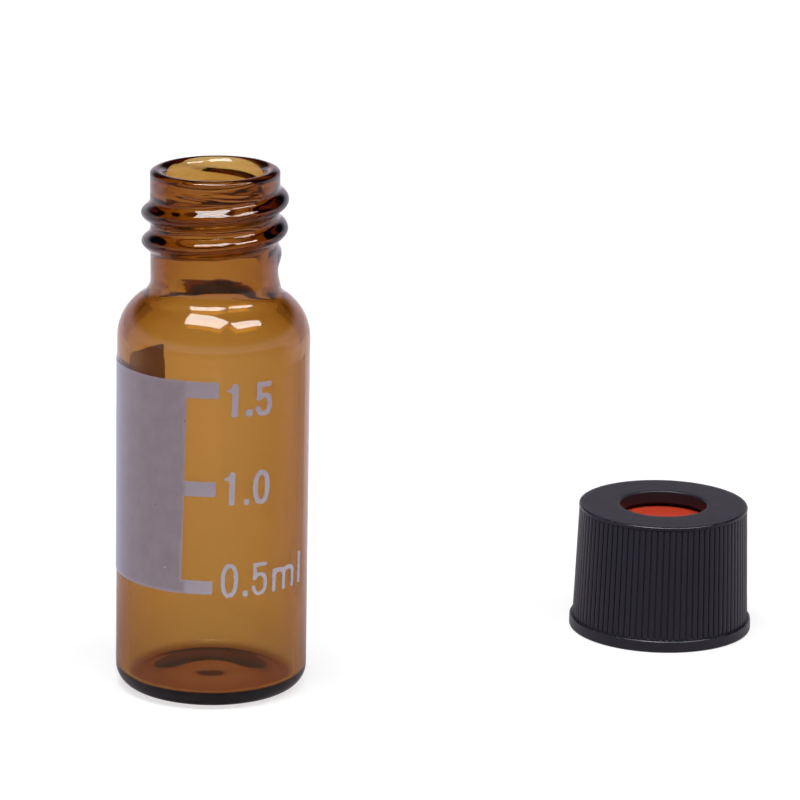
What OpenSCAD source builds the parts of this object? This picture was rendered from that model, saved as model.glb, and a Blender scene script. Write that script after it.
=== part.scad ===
// Glass sample vial, 12 x 32 mm class, with a fired-on scale and its open-top screw cap.
// The vial stands on its base at the origin, axis up. The cap stands beside it on its open rim.
// Units are millimetres.

/* [Vial body] */
// Outside diameter of the body
body_d = 11.6; // [10:0.1:16]
// Height of the vial, base to lip
total_h = 32.1; // [28:0.1:50]
// Thickness of the body's wall
wall_t = 0.7; // [0.4:0.05:1.5]
// Height of the inside floor above the table
floor_z = 0.9; // [0.6:0.05:3]
// Rounding of the outside heel
heel_r = 1.23; // [0.4:0.01:2]
// Rounding of the inside corner at the floor
inner_heel_r = 0.8; // [0.2:0.05:2]
// Depth of the hollow under the base
punt_h = 0.3; // [0.05:0.05:0.5]
// Width of the flat ring that the vial stands on
foot_w = 0.37; // [0.1:0.01:1.5]

/* [Shoulder and neck] */
// Outside radius of the shoulder's round
shoulder_r = 3.05; // [2:0.05:5]
// Radius of the fillet where the shoulder runs into the neck
neck_fillet_r = 1.2; // [0.4:0.05:3]
// Height of the neck, from the shoulder's fillet to the lip
neck_h = 6.76; // [6:0.02:12]
// Outside diameter of the neck at its root
neck_d = 7.64; // [6.6:0.02:9]
// How much wider the neck is at the lip, on the radius
neck_flare = 0.07; // [0:0.01:0.2]
// Diameter of the neck's bore
bore_d = 6.06; // [4.5:0.02:6.4]
// Diameter of the mouth, which fire polishing draws in a little
mouth_d = 5.8; // [4.3:0.02:6.2]
// Depth over which the mouth narrows, below the lip's round
mouth_l = 0.9; // [0.3:0.05:2]
// Inside radius of the shoulder's round
inner_shoulder_r = 1.9; // [0.8:0.05:4]
// Inside radius of the fillet from shoulder to bore
inner_fillet_r = 0.5; // [0.3:0.05:3]

/* [Neck thread] */
// Rise of the thread in one turn
thread_pitch = 1.75; // [1.4:0.05:2.2]
// Height of the thread bead above the neck
bead_h = 0.565; // [0.3:0.005:0.8]
// Width of the thread bead at its root
bead_w = 1.3; // [1:0.05:1.7]
// Length of the thread in turns
thread_turns = 2.32; // [1.2:0.01:2.6]
// Depth of the thread's start below the lip
thread_drop = 1.3; // [1:0.05:2]
// Direction in which the thread starts, from +X towards +Y
thread_start_deg = 115; // [0:5:355]
// Angle over which the bead grows at its start
thread_in_deg = 45; // [20:5:120]
// Angle over which the bead fades at its end
thread_out_deg = 70; // [20:5:120]

/* [Printed scale] */
// Thickness of the fired print
ink_t = 0.04; // [0.02:0.01:0.1]
// Height of the middle of the half-millilitre graduation
first_mark_z = 7.75; // [5:0.05:10]
// Thickness of a graduation
mark_t = 0.96; // [0.2:0.02:1.5]
// End of the graduations, right of the front, along the wall
mark_end = 0.41; // [0:0.01:0.6]
// Right edge of the writing patch, left of the front, along the wall
patch_gap = 1.54; // [0.5:0.02:4]
// Width of the writing patch along the wall
patch_w = 13.1; // [4:0.1:16]
// Height of the numerals
digit_h = 2.06; // [1.4:0.02:3]
// Width of a round numeral
digit_w = 1.14; // [0.8:0.02:1.3]
// Width of the pen stroke
stroke_w = 0.3; // [0.15:0.01:0.4]
// Start of the numbers, right of the front, along the wall
number_start = 0.73; // [0.6:0.01:2]
// Room for one numeral along the wall
number_pitch = 1.95; // [1.6:0.05:3]
// How far the lowest number stands above the middle of its graduation
number_rise = 0.38; // [-1:0.02:1]
// How much each number falls behind its graduation, counted from the one below
number_lag = 0.55; // [0:0.01:1]

/* [Screw cap] */
// Depth of the open skirt below the septum
skirt_h = 5.7; // [4.5:0.05:8]
// Wall of the skirt at its open end, bore to rib crest
skirt_wall = 1.0; // [0.6:0.05:2]
// How much the skirt narrows to its closed end, on the radius
skirt_draft = 0.25; // [0:0.01:0.35]
// How far the smooth bead at the open rim stands out
rim_out = 0.2; // [0.05:0.01:0.6]
// Height of the smooth bead at the open rim
rim_h = 0.75; // [0.4:0.05:1.5]
// Number of gripping ribs
rib_n = 88; // [24:4:120]
// Depth of a rib
rib_depth = 0.13; // [0.05:0.01:0.3]
// Height of the smooth edge above the ribs
cap_edge_h = 0.3; // [0.25:0.05:1]
// How far the smooth edge stands out over the ribs
edge_out = 0.03; // [0.02:0.01:0.1]
// Rounding of the cap's top edge
cap_edge_r = 0.2; // [0.05:0.05:0.25]
// Thickness of the cap's top
cap_top_t = 1.05; // [0.6:0.05:2]
// Diameter of the hole in the cap's top
port_d = 5.5; // [3:0.1:7]
// Bevel round the hole's lower edge
port_bevel = 0.3; // [0.05:0.05:0.4]
// Clearance on the radius between the cap's bore and the vial's thread
thread_clear = 0.16; // [0.05:0.01:0.4]
// Clearance on the radius between the cap's ridge and the vial's lip
ridge_clear = 0.18; // [0.05:0.01:0.3]
// Width of the cap's thread ridge at its root
ridge_w = 1.05; // [0.6:0.05:1.3]
// Length of the cap's thread in turns
ridge_turns = 1.5; // [0.5:0.05:1.7]
// Room between the septum and the cap's thread
ridge_gap = 0.05; // [0.02:0.01:0.5]
// Number of ratchet teeth inside the rim
tooth_n = 20; // [8:1:36]
// Radial depth of a ratchet tooth
tooth_depth = 0.36; // [0.1:0.02:0.5]
// Height of the ratchet teeth
tooth_h = 1.1; // [0.4:0.05:1.5]
// Depth of the counterbore below the teeth
recess_h = 0.35; // [0.1:0.05:0.7]
// Wall left at the rim outside the counterbore
rim_wall = 0.42; // [0.2:0.02:0.6]

/* [Septum] */
// Thickness of the silicone layer
silicone_t = 1.15; // [0.5:0.05:2]
// Thickness of the fluoropolymer layer
film_t = 0.15; // [0.05:0.05:0.5]
// Clearance on the radius between the septum and the cap's bore
septum_clear = 0.095; // [0.02:0.005:0.3]
// Height of the bulge in the hole of the cap
dome_h = 0.26; // [0.05:0.01:0.5]
// Clearance on the radius between the bulge and the hole
dome_clear = 0.08; // [0.05:0.01:0.3]

/* [Layout] */
// Free width between the vial and the cap that stands beside it
cap_gap = 16.45; // [1:0.05:40]
// Distance of the cap's axis behind the vial's axis
cap_y = 12.5; // [-30:0.5:30]

/* [Hidden] */
half_ml = 500;
front_deg = -90;
embed = 0.12;
eps = 0.01;
vial_fn = 72;
cap_fn = 96;

// Vial
body_r = body_d / 2;
cavity_r = body_r - wall_t;
neck_r = neck_d / 2;
lip_r = neck_r + neck_flare;
bore_r = bore_d / 2;
mouth_r = mouth_d / 2;
lip_round = (lip_r - mouth_r) / 2;
thread_r = neck_r + bead_h;
thread_start_z = total_h - thread_drop;
punt_r = body_r - heel_r - foot_w;
punt_sphere_r = (pow(punt_r, 2) + pow(punt_h, 2)) / (2 * punt_h);
neck_z = total_h - neck_h;
shoulder_z = neck_z - shoulder_rise(body_r, neck_r, shoulder_r, neck_fillet_r);

// Print
mark_step = half_ml / (PI * pow(cavity_r, 2));
mark_low_z = first_mark_z - mark_t / 2;
mark_n = 1 + floor((shoulder_z - mark_low_z - mark_t) / mark_step);
mark_high_z = mark_low_z + (mark_n - 1) * mark_step + mark_t;
number_z = first_mark_z + number_rise - digit_h / 2;
arc_deg = 180 / (PI * body_r);
em_h = 0.7 * digit_h;
em_pitch = 0.7 * digit_w;

// Cap and septum
cap_bore_r = thread_r + thread_clear;
ridge_r = lip_r + ridge_clear;
skirt_low_r = cap_bore_r + skirt_wall;
skirt_top_r = skirt_low_r - skirt_draft;
rim_r = skirt_low_r + rim_out;
rim_round = 0.12;
recess_r = rim_r - rim_wall;
septum_r = cap_bore_r - septum_clear;
septum_top_z = skirt_h + film_t + silicone_t;
cap_h = septum_top_z + cap_top_t;
rib_top_z = cap_h - cap_edge_h;
ridge_start_z = skirt_h - ridge_gap - ridge_w / 2;
port_r = port_d / 2;
dome_r = port_r - dome_clear;
dome_sphere_r = (pow(dome_r, 2) + pow(dome_h, 2)) / (2 * dome_h);
cap_x = body_r + cap_gap + rim_r;

// Angle of the line joining the two arcs of a shoulder.
function shoulder_deg(big, small, convex, concave) =
    acos((small + concave - big + convex) / (convex + concave));

// Height over which a shoulder passes from its straight wall to its neck.
function shoulder_rise(big, small, convex, concave) =
    (convex + concave) * sin(shoulder_deg(big, small, convex, concave));

// Half section of a shoulder: a convex round running into a concave fillet.
module shoulder_2d(big, small, z, convex, concave) {
    rise = shoulder_rise(big, small, convex, concave);
    intersection() {
        translate([big - convex, z]) circle(convex, $fn = 56);
        translate([0, z]) square([big, convex]);
    }
    difference() {
        polygon([[0, z], [big - convex, z], [small + concave, z + rise], [0, z + rise]]);
        translate([small + concave, z + rise]) circle(concave, $fn = 40);
    }
}

// Half section of the vial's outside.
module vial_outside_2d() {
    lip_z = total_h - lip_round;
    difference() {
        union() {
            square([body_r - heel_r, shoulder_z]);
            translate([body_r - heel_r, heel_r]) circle(heel_r, $fn = 32);
            translate([0, heel_r]) square([body_r, shoulder_z - heel_r]);
            shoulder_2d(body_r, neck_r, shoulder_z, shoulder_r, neck_fillet_r);
            polygon([[0, neck_z], [neck_r, neck_z], [lip_r, lip_z], [0, lip_z]]);
        }
        translate([0, punt_h - punt_sphere_r]) circle(punt_sphere_r, $fn = 240);
    }
    translate([lip_r - lip_round, lip_z]) circle(lip_round, $fn = 24);
}

// Half section of the hollow inside the vial.
module vial_hollow_2d() {
    corner_r = cavity_r - inner_heel_r;
    corner_z = floor_z + inner_heel_r;
    lip_z = total_h - lip_round;
    bore_z = shoulder_z + shoulder_rise(cavity_r, bore_r, inner_shoulder_r, inner_fillet_r);
    translate([0, floor_z]) square([corner_r, inner_heel_r]);
    intersection() {
        translate([corner_r, corner_z]) circle(inner_heel_r, $fn = 32);
        translate([corner_r, floor_z]) square(inner_heel_r);
    }
    translate([0, corner_z]) square([cavity_r, shoulder_z - corner_z]);
    shoulder_2d(cavity_r, bore_r, shoulder_z, inner_shoulder_r, inner_fillet_r);
    translate([0, bore_z]) square([bore_r, lip_z - mouth_l - bore_z]);
    polygon([[0, lip_z - mouth_l], [bore_r, lip_z - mouth_l], [mouth_r, lip_z], [0, lip_z]]);
    translate([0, lip_z]) square([mouth_r, lip_round + 1]);
}

// How far a thread has grown at angle a of a run: 0 at both ends, 1 in between.
function grown(a, total, lead_in, lead_out) =
    let (up = min(1, a / lead_in), down = min(1, (total - a) / lead_out))
    max(0.02, sin(90 * min(up, down)));

// A ridge wound round the Z axis, right-handed, running down from its start.
// Positive height stands out from the base radius, negative height stands in from it.
module wound_ridge(base_r, height, width, pitch, turns, start_z, start_deg, lead_in, lead_out, steps) {
    total = turns * 360;
    n = ceil(turns * steps);
    m = 9;
    sunk = height > 0 ? embed : -embed;
    rings = [
        for (i = [0 : n])
            let (a = total * i / n, k = grown(a, total, lead_in, lead_out), t = start_deg - a)
            [
                for (j = [0 : m])
                    let (
                        s = j / m,
                        r = base_r - sunk + (height + sunk) * k * pow(sin(180 * s), 0.85),
                        z = start_z - pitch * a / 360 + width * (s - 0.5)
                    )
                    [r * cos(t), r * sin(t), z]
            ]
    ];
    points = [for (ring = rings) for (p = ring) p];
    w = m + 1;
    sides = [
        for (i = [0 : n - 1])
            for (j = [0 : m])
                let (a = i * w + j, b = i * w + (j + 1) % w)
                height > 0 ? [a, a + w, b + w, b] : [a, b, b + w, a + w]
    ];
    first = [for (j = [0 : m]) height > 0 ? j : m - j];
    last = [for (j = [0 : m]) n * w + (height > 0 ? m - j : j)];
    polyhedron(points = points, faces = concat(sides, [first], [last]), convexity = 8);
}

// The vial: one piece of tubular glass with its rolled thread.
module glass_vial() {
    color([0.62, 0.38, 0.1])
    union() {
        rotate_extrude($fn = vial_fn)
        difference() {
            vial_outside_2d();
            vial_hollow_2d();
        }
        wound_ridge(
            neck_r, bead_h, bead_w, thread_pitch, thread_turns,
            thread_start_z, thread_start_deg, thread_in_deg, thread_out_deg, 36
        );
    }
}

// A band on the wall between two arc lengths right of the front. Extra thickness makes it a cutter.
module printed_band(from, to, low_z, high_z, extra) {
    rotate([0, 0, front_deg + from * arc_deg])
    rotate_extrude(angle = (to - from) * arc_deg, $fn = 120)
    translate([body_r - extra, low_z]) square([ink_t + 2 * extra, high_z - low_z]);
}

// A flat sign laid on the wall. Its lower left corner stands at an arc length right of the front.
module printed_sign(arc, z, width) {
    intersection() {
        rotate([0, 0, (arc + width / 2) * arc_deg])
        translate([-width / 2, -body_r + 0.2, z])
        rotate([90, 0, 0])
        linear_extrude(0.2 + 2 * ink_t)
        children();
        translate([0, 0, z - 1])
        difference() {
            cylinder(r = body_r + ink_t, h = digit_h + 2, $fn = 120);
            translate([0, 0, -1]) cylinder(r = body_r, h = digit_h + 4, $fn = 120);
        }
    }
}

// An upright slot with round ends.
module slot_2d(w, h) {
    translate([w / 2, w / 2]) circle(w / 2, $fn = 32);
    translate([w / 2, h - w / 2]) circle(w / 2, $fn = 32);
    translate([0, w / 2]) square([w, h - w]);
}

// An arch: the upper half of a ring, standing on its two ends.
module arch_2d(r) {
    translate([r, 0])
    difference() {
        circle(r, $fn = 32);
        circle(r - stroke_w, $fn = 32);
        translate([-2 * r, -4 * r]) square(4 * r);
    }
}

module nought_2d() {
    difference() {
        slot_2d(digit_w, digit_h);
        translate([stroke_w, stroke_w]) slot_2d(digit_w - 2 * stroke_w, digit_h - 2 * stroke_w);
    }
}

module one_2d() {
    stem_x = 0.45 * digit_w;
    flag_z = 0.76 * digit_h;
    translate([stem_x, 0]) square([stroke_w, digit_h]);
    polygon([[stem_x - 0.34, flag_z], [stem_x + eps, flag_z - 0.05], [stem_x + eps, digit_h]]);
}

module two_2d() {
    r = digit_w / 2;
    translate([0, digit_h - r]) arch_2d(r);
    polygon([
        [digit_w, digit_h - r],
        [digit_w - stroke_w, digit_h - r],
        [0, stroke_w / 2],
        [stroke_w, stroke_w / 2]
    ]);
    square([digit_w, stroke_w]);
}

module five_2d() {
    bowl_r = 0.3 * digit_h;
    bowl_x = digit_w - bowl_r;
    hook_x = bowl_x - 0.12;
    translate([0.12, digit_h - stroke_w]) square([digit_w - 0.14, stroke_w]);
    translate([0.05, 0.5 * digit_h]) square([stroke_w, 0.5 * digit_h]);
    difference() {
        translate([bowl_x, bowl_r]) circle(bowl_r, $fn = 40);
        translate([bowl_x, bowl_r]) circle(bowl_r - stroke_w, $fn = 32);
        translate([hook_x - digit_w, bowl_r - 0.1]) square([digit_w, 0.42]);
    }
}

module em_2d() {
    arch_r = (em_pitch + stroke_w) / 2;
    square([stroke_w, em_h]);
    for (i = [1 : 2])
        translate([i * em_pitch, 0]) square([stroke_w, em_h - arch_r + eps]);
    for (i = [0 : 1])
        translate([i * em_pitch, em_h - arch_r]) arch_2d(arch_r);
}

// One of the numerals that the scale needs.
module digit_2d(value) {
    if (value == 0) nought_2d();
    if (value == 1) one_2d();
    if (value == 2) two_2d();
    if (value == 5) five_2d();
}

// The number beside one graduation, counted from the lowest.
module printed_number(index) {
    half_mls = index + 1;
    z = number_z + index * (mark_step - number_lag);
    dot_w = 1.2 * stroke_w;
    dot_arc = number_start + digit_w + (number_pitch - digit_w - dot_w) / 2;
    printed_sign(number_start, z, digit_w) digit_2d(floor(half_mls / 2));
    printed_sign(dot_arc, z, dot_w) square(dot_w);
    printed_sign(number_start + number_pitch, z, digit_w) digit_2d(5 * (half_mls % 2));
}

// The fired-on print: writing patch, graduations, their numbers and the unit.
module ink_print() {
    unit_arc = number_start + number_pitch + digit_w + stroke_w;
    em_w = 2 * em_pitch + stroke_w;
    color([0.74, 0.71, 0.74])
    union() {
        difference() {
            printed_band(-patch_gap - patch_w, mark_end, mark_low_z, mark_high_z, 0);
            for (i = [1 : mark_n - 1])
                printed_band(
                    -patch_gap, mark_end + 0.5,
                    mark_low_z + mark_t + (i - 1) * mark_step, mark_low_z + i * mark_step, 0.2
                );
        }
        for (i = [0 : mark_n - 1])
            printed_number(i);
        printed_sign(unit_arc, number_z, em_w) em_2d();
        printed_sign(unit_arc + em_w + stroke_w, number_z, stroke_w) square([stroke_w, digit_h]);
    }
}

// Outline of the gripping ribs at the open end of the skirt.
module ribs_2d(r) {
    polygon([
        for (i = [0 : 2 * rib_n - 1])
            let (a = 180 * i / rib_n, p = i % 2 == 0 ? r : r - rib_depth)
            [p * cos(a), p * sin(a)]
    ]);
}

// Outline of the ratchet teeth: each one slopes in and drops back.
module ratchet_2d(r) {
    polygon([
        for (i = [0 : tooth_n - 1])
            for (end = [0 : 1])
                let (a = 360 * (i + 0.86 * end) / tooth_n, p = end == 0 ? r + tooth_depth : r - 0.04)
                [p * cos(a), p * sin(a)]
    ]);
}

// Half section of the cap's smooth top edge and of the bead at its open rim.
module cap_smooth_2d() {
    edge_z = rib_top_z - 0.05;
    edge_r = skirt_top_r + edge_out;
    square([rim_r - rim_round, rim_h]);
    translate([0, rim_round]) square([rim_r, rim_h - 2 * rim_round]);
    translate([rim_r - rim_round, rim_round]) circle(rim_round, $fn = 16);
    translate([rim_r - rim_round, rim_h - rim_round]) circle(rim_round, $fn = 16);
    translate([0, edge_z]) square([edge_r - cap_edge_r, cap_h - edge_z]);
    translate([0, edge_z]) square([edge_r, cap_h - edge_z - cap_edge_r]);
    translate([edge_r - cap_edge_r, cap_h - cap_edge_r]) circle(cap_edge_r, $fn = 16);
}

// The cap's hollow: counterbore, ratchet teeth, bore, and the hole with its bevel.
module cap_hollow() {
    translate([0, 0, -eps]) cylinder(r = recess_r, h = recess_h + eps, $fn = cap_fn);
    translate([0, 0, recess_h - eps]) linear_extrude(tooth_h + eps) ratchet_2d(cap_bore_r);
    translate([0, 0, recess_h]) cylinder(r = cap_bore_r, h = septum_top_z - recess_h, $fn = cap_fn);
    translate([0, 0, septum_top_z - 0.5]) cylinder(r = port_r, h = cap_top_t + 1, $fn = cap_fn);
    translate([0, 0, septum_top_z - eps])
    cylinder(r1 = port_r + port_bevel, r2 = port_r, h = port_bevel + eps, $fn = cap_fn);
}

// The cap: a ribbed skirt with a thread and a ratchet inside and a hole in its top.
module screw_cap() {
    rib_z = rim_h - 0.1;
    color([0.07, 0.07, 0.08])
    translate([cap_x, cap_y, 0])
    union() {
        difference() {
            union() {
                rotate_extrude($fn = cap_fn) cap_smooth_2d();
                translate([0, 0, rib_z])
                linear_extrude(rib_top_z - rib_z, scale = skirt_top_r / skirt_low_r)
                ribs_2d(skirt_low_r);
            }
            cap_hollow();
        }
        wound_ridge(
            cap_bore_r, ridge_r - cap_bore_r, ridge_w, thread_pitch, ridge_turns,
            ridge_start_z, 30, 50, 50, 36
        );
    }
}

// The septum's outer layer, bulging a little into the hole of the cap.
module septum_rubber() {
    color([0.75, 0.2, 0.1])
    translate([cap_x, cap_y, 0])
    union() {
        translate([0, 0, septum_top_z - silicone_t])
        cylinder(r = septum_r, h = silicone_t, $fn = cap_fn);
        rotate_extrude($fn = cap_fn)
        intersection() {
            translate([0, septum_top_z + dome_h - dome_sphere_r]) circle(dome_sphere_r, $fn = 200);
            translate([0, septum_top_z - 0.2]) square([dome_r, dome_h + 0.2]);
        }
    }
}

// The septum's inner layer, which faces the sample.
module septum_film() {
    color([0.95, 0.95, 0.95])
    translate([cap_x, cap_y, skirt_h])
    cylinder(r = septum_r, h = film_t, $fn = cap_fn);
}

glass_vial();
ink_print();
screw_cap();
septum_rubber();
septum_film();
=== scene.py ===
"""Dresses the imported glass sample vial, its fired print and the cap that stands beside it.

Sizes are in millimetres until a mesh is made, and in metres from then on.
"""

import logging
import math
from dataclasses import dataclass, field
from enum import Enum
from functools import partial
from typing import Any, Callable, Sequence

import bpy
import numpy as np
from mathutils import Matrix, Vector
from mathutils.geometry import delaunay_2d_cdt

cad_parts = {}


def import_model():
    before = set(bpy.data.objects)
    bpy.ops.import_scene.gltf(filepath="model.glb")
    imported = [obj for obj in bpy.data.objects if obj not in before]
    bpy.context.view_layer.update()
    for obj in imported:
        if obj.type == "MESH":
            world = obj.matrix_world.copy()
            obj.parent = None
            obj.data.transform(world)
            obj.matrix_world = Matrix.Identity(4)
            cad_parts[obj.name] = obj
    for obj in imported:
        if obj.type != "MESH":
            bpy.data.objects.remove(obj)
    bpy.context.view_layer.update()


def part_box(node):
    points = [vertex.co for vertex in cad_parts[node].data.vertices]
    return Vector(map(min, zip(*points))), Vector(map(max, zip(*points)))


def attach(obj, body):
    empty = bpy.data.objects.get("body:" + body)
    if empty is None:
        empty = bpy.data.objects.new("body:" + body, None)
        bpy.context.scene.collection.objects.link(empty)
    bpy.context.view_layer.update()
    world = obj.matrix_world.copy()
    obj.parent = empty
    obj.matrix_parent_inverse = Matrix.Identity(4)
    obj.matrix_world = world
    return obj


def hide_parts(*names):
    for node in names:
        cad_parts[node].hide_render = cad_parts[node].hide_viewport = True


LOG = logging.getLogger("sample_vial")

MM = 0.001
PER_MM = 1000.0
WHITE = (1.0, 1.0, 1.0, 1.0)

Size = float
Pair = tuple[float, float]
Trio = tuple[float, float, float]
Tint = tuple[float, float, float, float]
Curve = np.ndarray
Grid = np.ndarray
Piece = bpy.types.Object
Material = bpy.types.Material
Adder = Callable[..., bpy.types.Node]
Joins = list[tuple[int, int]]


# --- small tools ---


def linear(code: str) -> Tint:
    """Turns an sRGB hex colour, as "#rrggbb", into a linear one with an alpha of one."""
    parts = [int(code[i : i + 2], 16) / 255 for i in (1, 3, 5)]
    return (*(c / 12.92 if c <= 0.04045 else ((c + 0.055) / 1.055) ** 2.4 for c in parts), 1.0)


def metres(sizes: Sequence[Size]) -> list[float]:
    """Turns millimetres into metres."""
    return [size * MM for size in sizes]


def add_node(tree: bpy.types.NodeTree, kind: str, inputs: Any = (), **settings: Any) -> bpy.types.Node:
    """Adds one node with its settings, and sets or links its inputs.

    Args:
        tree: The node tree.
        kind: The node's type name; a shader node's may leave out "ShaderNode".
        inputs: Its inputs in order, or by name or number: a constant, a socket to link from, or a
            node to link from by its first live output.
        **settings: Properties of the node itself.

    Returns:
        The node.
    """
    node = tree.nodes.new(kind if "Node" in kind else f"ShaderNode{kind}")
    for name, value in settings.items():
        setattr(node, name, value)
    for key, value in inputs.items() if isinstance(inputs, dict) else enumerate(inputs):
        if isinstance(value, bpy.types.Node):
            value = next(socket for socket in value.outputs if socket.enabled)
        if isinstance(value, bpy.types.NodeSocket):
            tree.links.new(value, node.inputs[key])
        else:
            node.inputs[key].default_value = value
    return node


def new_material(name: str) -> tuple[Material, Adder]:
    """Makes an empty node material.

    Args:
        name: The material's name.

    Returns:
        The material, and what adds a node to it.
    """
    material = bpy.data.materials.new(name)
    material.use_nodes = True
    material.node_tree.nodes.clear()
    return material, partial(add_node, material.node_tree)


def ramp(value: Grid, start: Size, length: Size) -> Grid:
    """Rises from 0 at its start to 1 over a length, or falls where the length is negative."""
    return np.clip((value - start) / length, 0, 1)


def swell(value: Grid, middle: Size, spread: Size) -> Grid:
    """A soft hump, one high, about a middle."""
    return np.exp(-(((value - middle) / spread) ** 2))


def arc(centre: Pair, radius: Size, start: float, end: float, steps: int) -> Curve:
    """Points of an arc in a section.

    Args:
        centre: Distance from the axis and height of the arc's centre.
        radius: The arc's radius.
        start: First angle in degrees, 0 pointing away from the axis.
        end: Last angle in degrees.
        steps: Number of spans.

    Returns:
        An array of (distance, height) pairs.
    """
    t = np.radians(np.linspace(start, end, steps + 1))
    return np.stack([centre[0] + radius * np.cos(t), centre[1] + radius * np.sin(t)], 1)


def path(start: Pair, *legs: tuple[Pair, int]) -> Curve:
    """Points of straight legs in a section, each leg given by its end and its number of spans."""
    starts = [start, *(end for end, _ in legs)]
    return np.concatenate([np.linspace(a, b, n + 1) for a, (b, n) in zip(starts, legs)])


def joined(*runs: Curve) -> Curve:
    """Joins section runs and drops the points that they share.

    Args:
        *runs: The runs, in order.

    Returns:
        The section's points.
    """
    points = np.concatenate(runs)
    step = np.hypot(*np.diff(points, axis=0).T)
    return points[np.concatenate([[True], step > 1e-5])]


def mesh_object(name: str, points: Grid, faces: Sequence[Sequence[int]]) -> Piece:
    """Makes a smooth-shaded mesh object from points in millimetres.

    Args:
        name: The piece's name.
        points: Its vertices, in the row frame.
        faces: Its faces, counter-clockwise from outside.

    Returns:
        The object, at the origin.
    """
    mesh = bpy.data.meshes.new(name)
    mesh.from_pydata((points * MM).tolist(), [], faces)
    mesh.validate()
    mesh.shade_smooth()
    piece = bpy.data.objects.new(name, mesh)
    bpy.context.scene.collection.objects.link(piece)
    return piece


def prism(name: str, rows: Sequence[Grid]) -> Piece:
    """Makes a closed piece from level outlines of equal length.

    Args:
        name: The piece's name.
        rows: The outlines, counter-clockwise from above, from the lowest up.

    Returns:
        The object.
    """
    n, last = len(rows[0]), (len(rows) - 1) * len(rows[0])
    faces = [list(range(n))[::-1], [last + i for i in range(n)]]
    for k in range(0, last, n):
        faces += [[k + i, k + (i + 1) % n, k + n + (i + 1) % n, k + n + i] for i in range(n)]
    return mesh_object(name, np.concatenate(rows), faces)


@dataclass(frozen=True)
class Lathe:
    """Turns sections into closed meshes about an upright axis.

    Attributes:
        axis: Place of the axis.
        segments: Number of segments round it.
    """

    axis: Pair
    segments: int

    def angles(self) -> Grid:
        """Angles of the segments, from +X towards +Y."""
        return np.arange(self.segments) * 2 * math.pi / self.segments

    def spread(self, section: Curve) -> tuple[Grid, Grid]:
        """A section's radii and heights repeated all round, rows by segments."""
        shape = np.ones((1, self.segments))
        return section[:, :1] * shape, section[:, 1:] * shape

    def turn(self, name: str, radius: Grid, height: Grid, ring: bool) -> Piece:
        """Makes the mesh of a section that may vary round the axis.

        Args:
            name: The piece's name.
            radius: Radii, rows by segments.
            height: Heights, rows by segments.
            ring: True joins the last row to the first; False closes both ends at the axis.

        Returns:
            The object.
        """
        t, rows = self.angles(), len(radius)
        x, y = self.axis[0] + radius * np.cos(t), self.axis[1] + radius * np.sin(t)
        grid = np.stack([x, y, height], 2)
        number = np.arange(rows * self.segments).reshape(rows, self.segments)
        if ring:
            grid, number = grid.reshape(-1, 3), np.concatenate([number, number[:1]])
        else:
            ends = [[*self.axis, height[0].mean()], [*self.axis, height[-1].mean()]]
            grid, number = np.concatenate([grid[1:-1].reshape(-1, 3), ends]), number[: rows - 2]
        beside = np.roll(number, -1, 1)
        faces = np.stack([number[:-1], beside[:-1], beside[1:], number[1:]], 2).reshape(-1, 4).tolist()
        if not ring:
            first, last = len(grid) - 2, len(grid) - 1
            faces += [[first, b, a] for a, b in zip(number[0].tolist(), beside[0].tolist())]
            faces += [[last, a, b] for a, b in zip(number[-1].tolist(), beside[-1].tolist())]
        return mesh_object(name, grid, faces)


def ripple(theta: Grid, z: Grid, seed: int, turns: tuple[int, int], wave: Pair) -> Grid:
    """A smooth random ripple over a turned surface, about one high.

    Args:
        theta: Angles.
        z: Heights.
        seed: Fixed seed.
        turns: Fewest and most waves round the axis.
        wave: Shortest and longest wave along it.

    Returns:
        The ripple at each point.
    """
    dice = np.random.default_rng(seed)
    total = np.zeros(np.broadcast(theta, z).shape)
    count = 14
    for _ in range(count):
        m = int(dice.integers(turns[0], turns[1] + 1))
        k = 2 * math.pi / dice.uniform(*wave)
        total += np.cos(m * theta + dice.uniform(0, 6.3)) * np.cos(k * z + dice.uniform(0, 6.3))
    return total / math.sqrt(count / 4)


def seat(piece: Piece, slot: str, material: Material, *nodes: str) -> None:
    """Gives a finished piece its material, its body and the nodes that it stands for.

    Args:
        piece: The finished piece.
        slot: The record's material slot; not used.
        material: Its material.
        *nodes: The CAD nodes that it replaces.
    """
    piece.data.materials.clear()
    piece.data.materials.append(material)
    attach(piece, "root")
    if nodes:
        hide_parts(*nodes)
    LOG.info("%s: %d faces", piece.name, len(piece.data.polygons))


# --- finishes ---


@dataclass(frozen=True)
class AmberGlass:
    """Borosilicate tube coloured amber with iron and manganese: clear, brilliant, nearly no blue."""

    ior: float = 1.49
    loss_per_mm: Trio = (0.64, 1.17, 2.34)

    def make(self) -> Material:
        """Builds the material; colour comes only from the depth of glass that the light crosses.

        Returns:
            The material.
        """
        material, add = new_material("amber_borosilicate_glass")
        deepest = max(self.loss_per_mm)
        tint = (*(1 - loss / deepest for loss in self.loss_per_mm), 1.0)
        place = add("TexCoord").outputs["Object"]
        # Drawn tube keeps faint lines along its length, about 0.6 mm apart.
        along = add("Mapping", {"Vector": place, "Scale": (1.0, 1.0, 0.06)})
        lines = add("TexNoise", {"Vector": along, "Scale": 1600.0, "Detail": 1.0})
        inputs = {"Base Color": WHITE, "Roughness": 0.0, "IOR": self.ior, "Transmission Weight": 1.0}
        inputs["Normal"] = add("Bump", {"Height": lines, "Strength": 0.02, "Distance": 0.00004})
        glass = add("BsdfPrincipled", inputs)
        depth = add("VolumeAbsorption", {"Color": tint, "Density": deepest * PER_MM})
        add("OutputMaterial", {"Surface": glass, "Volume": depth})
        return material


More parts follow.
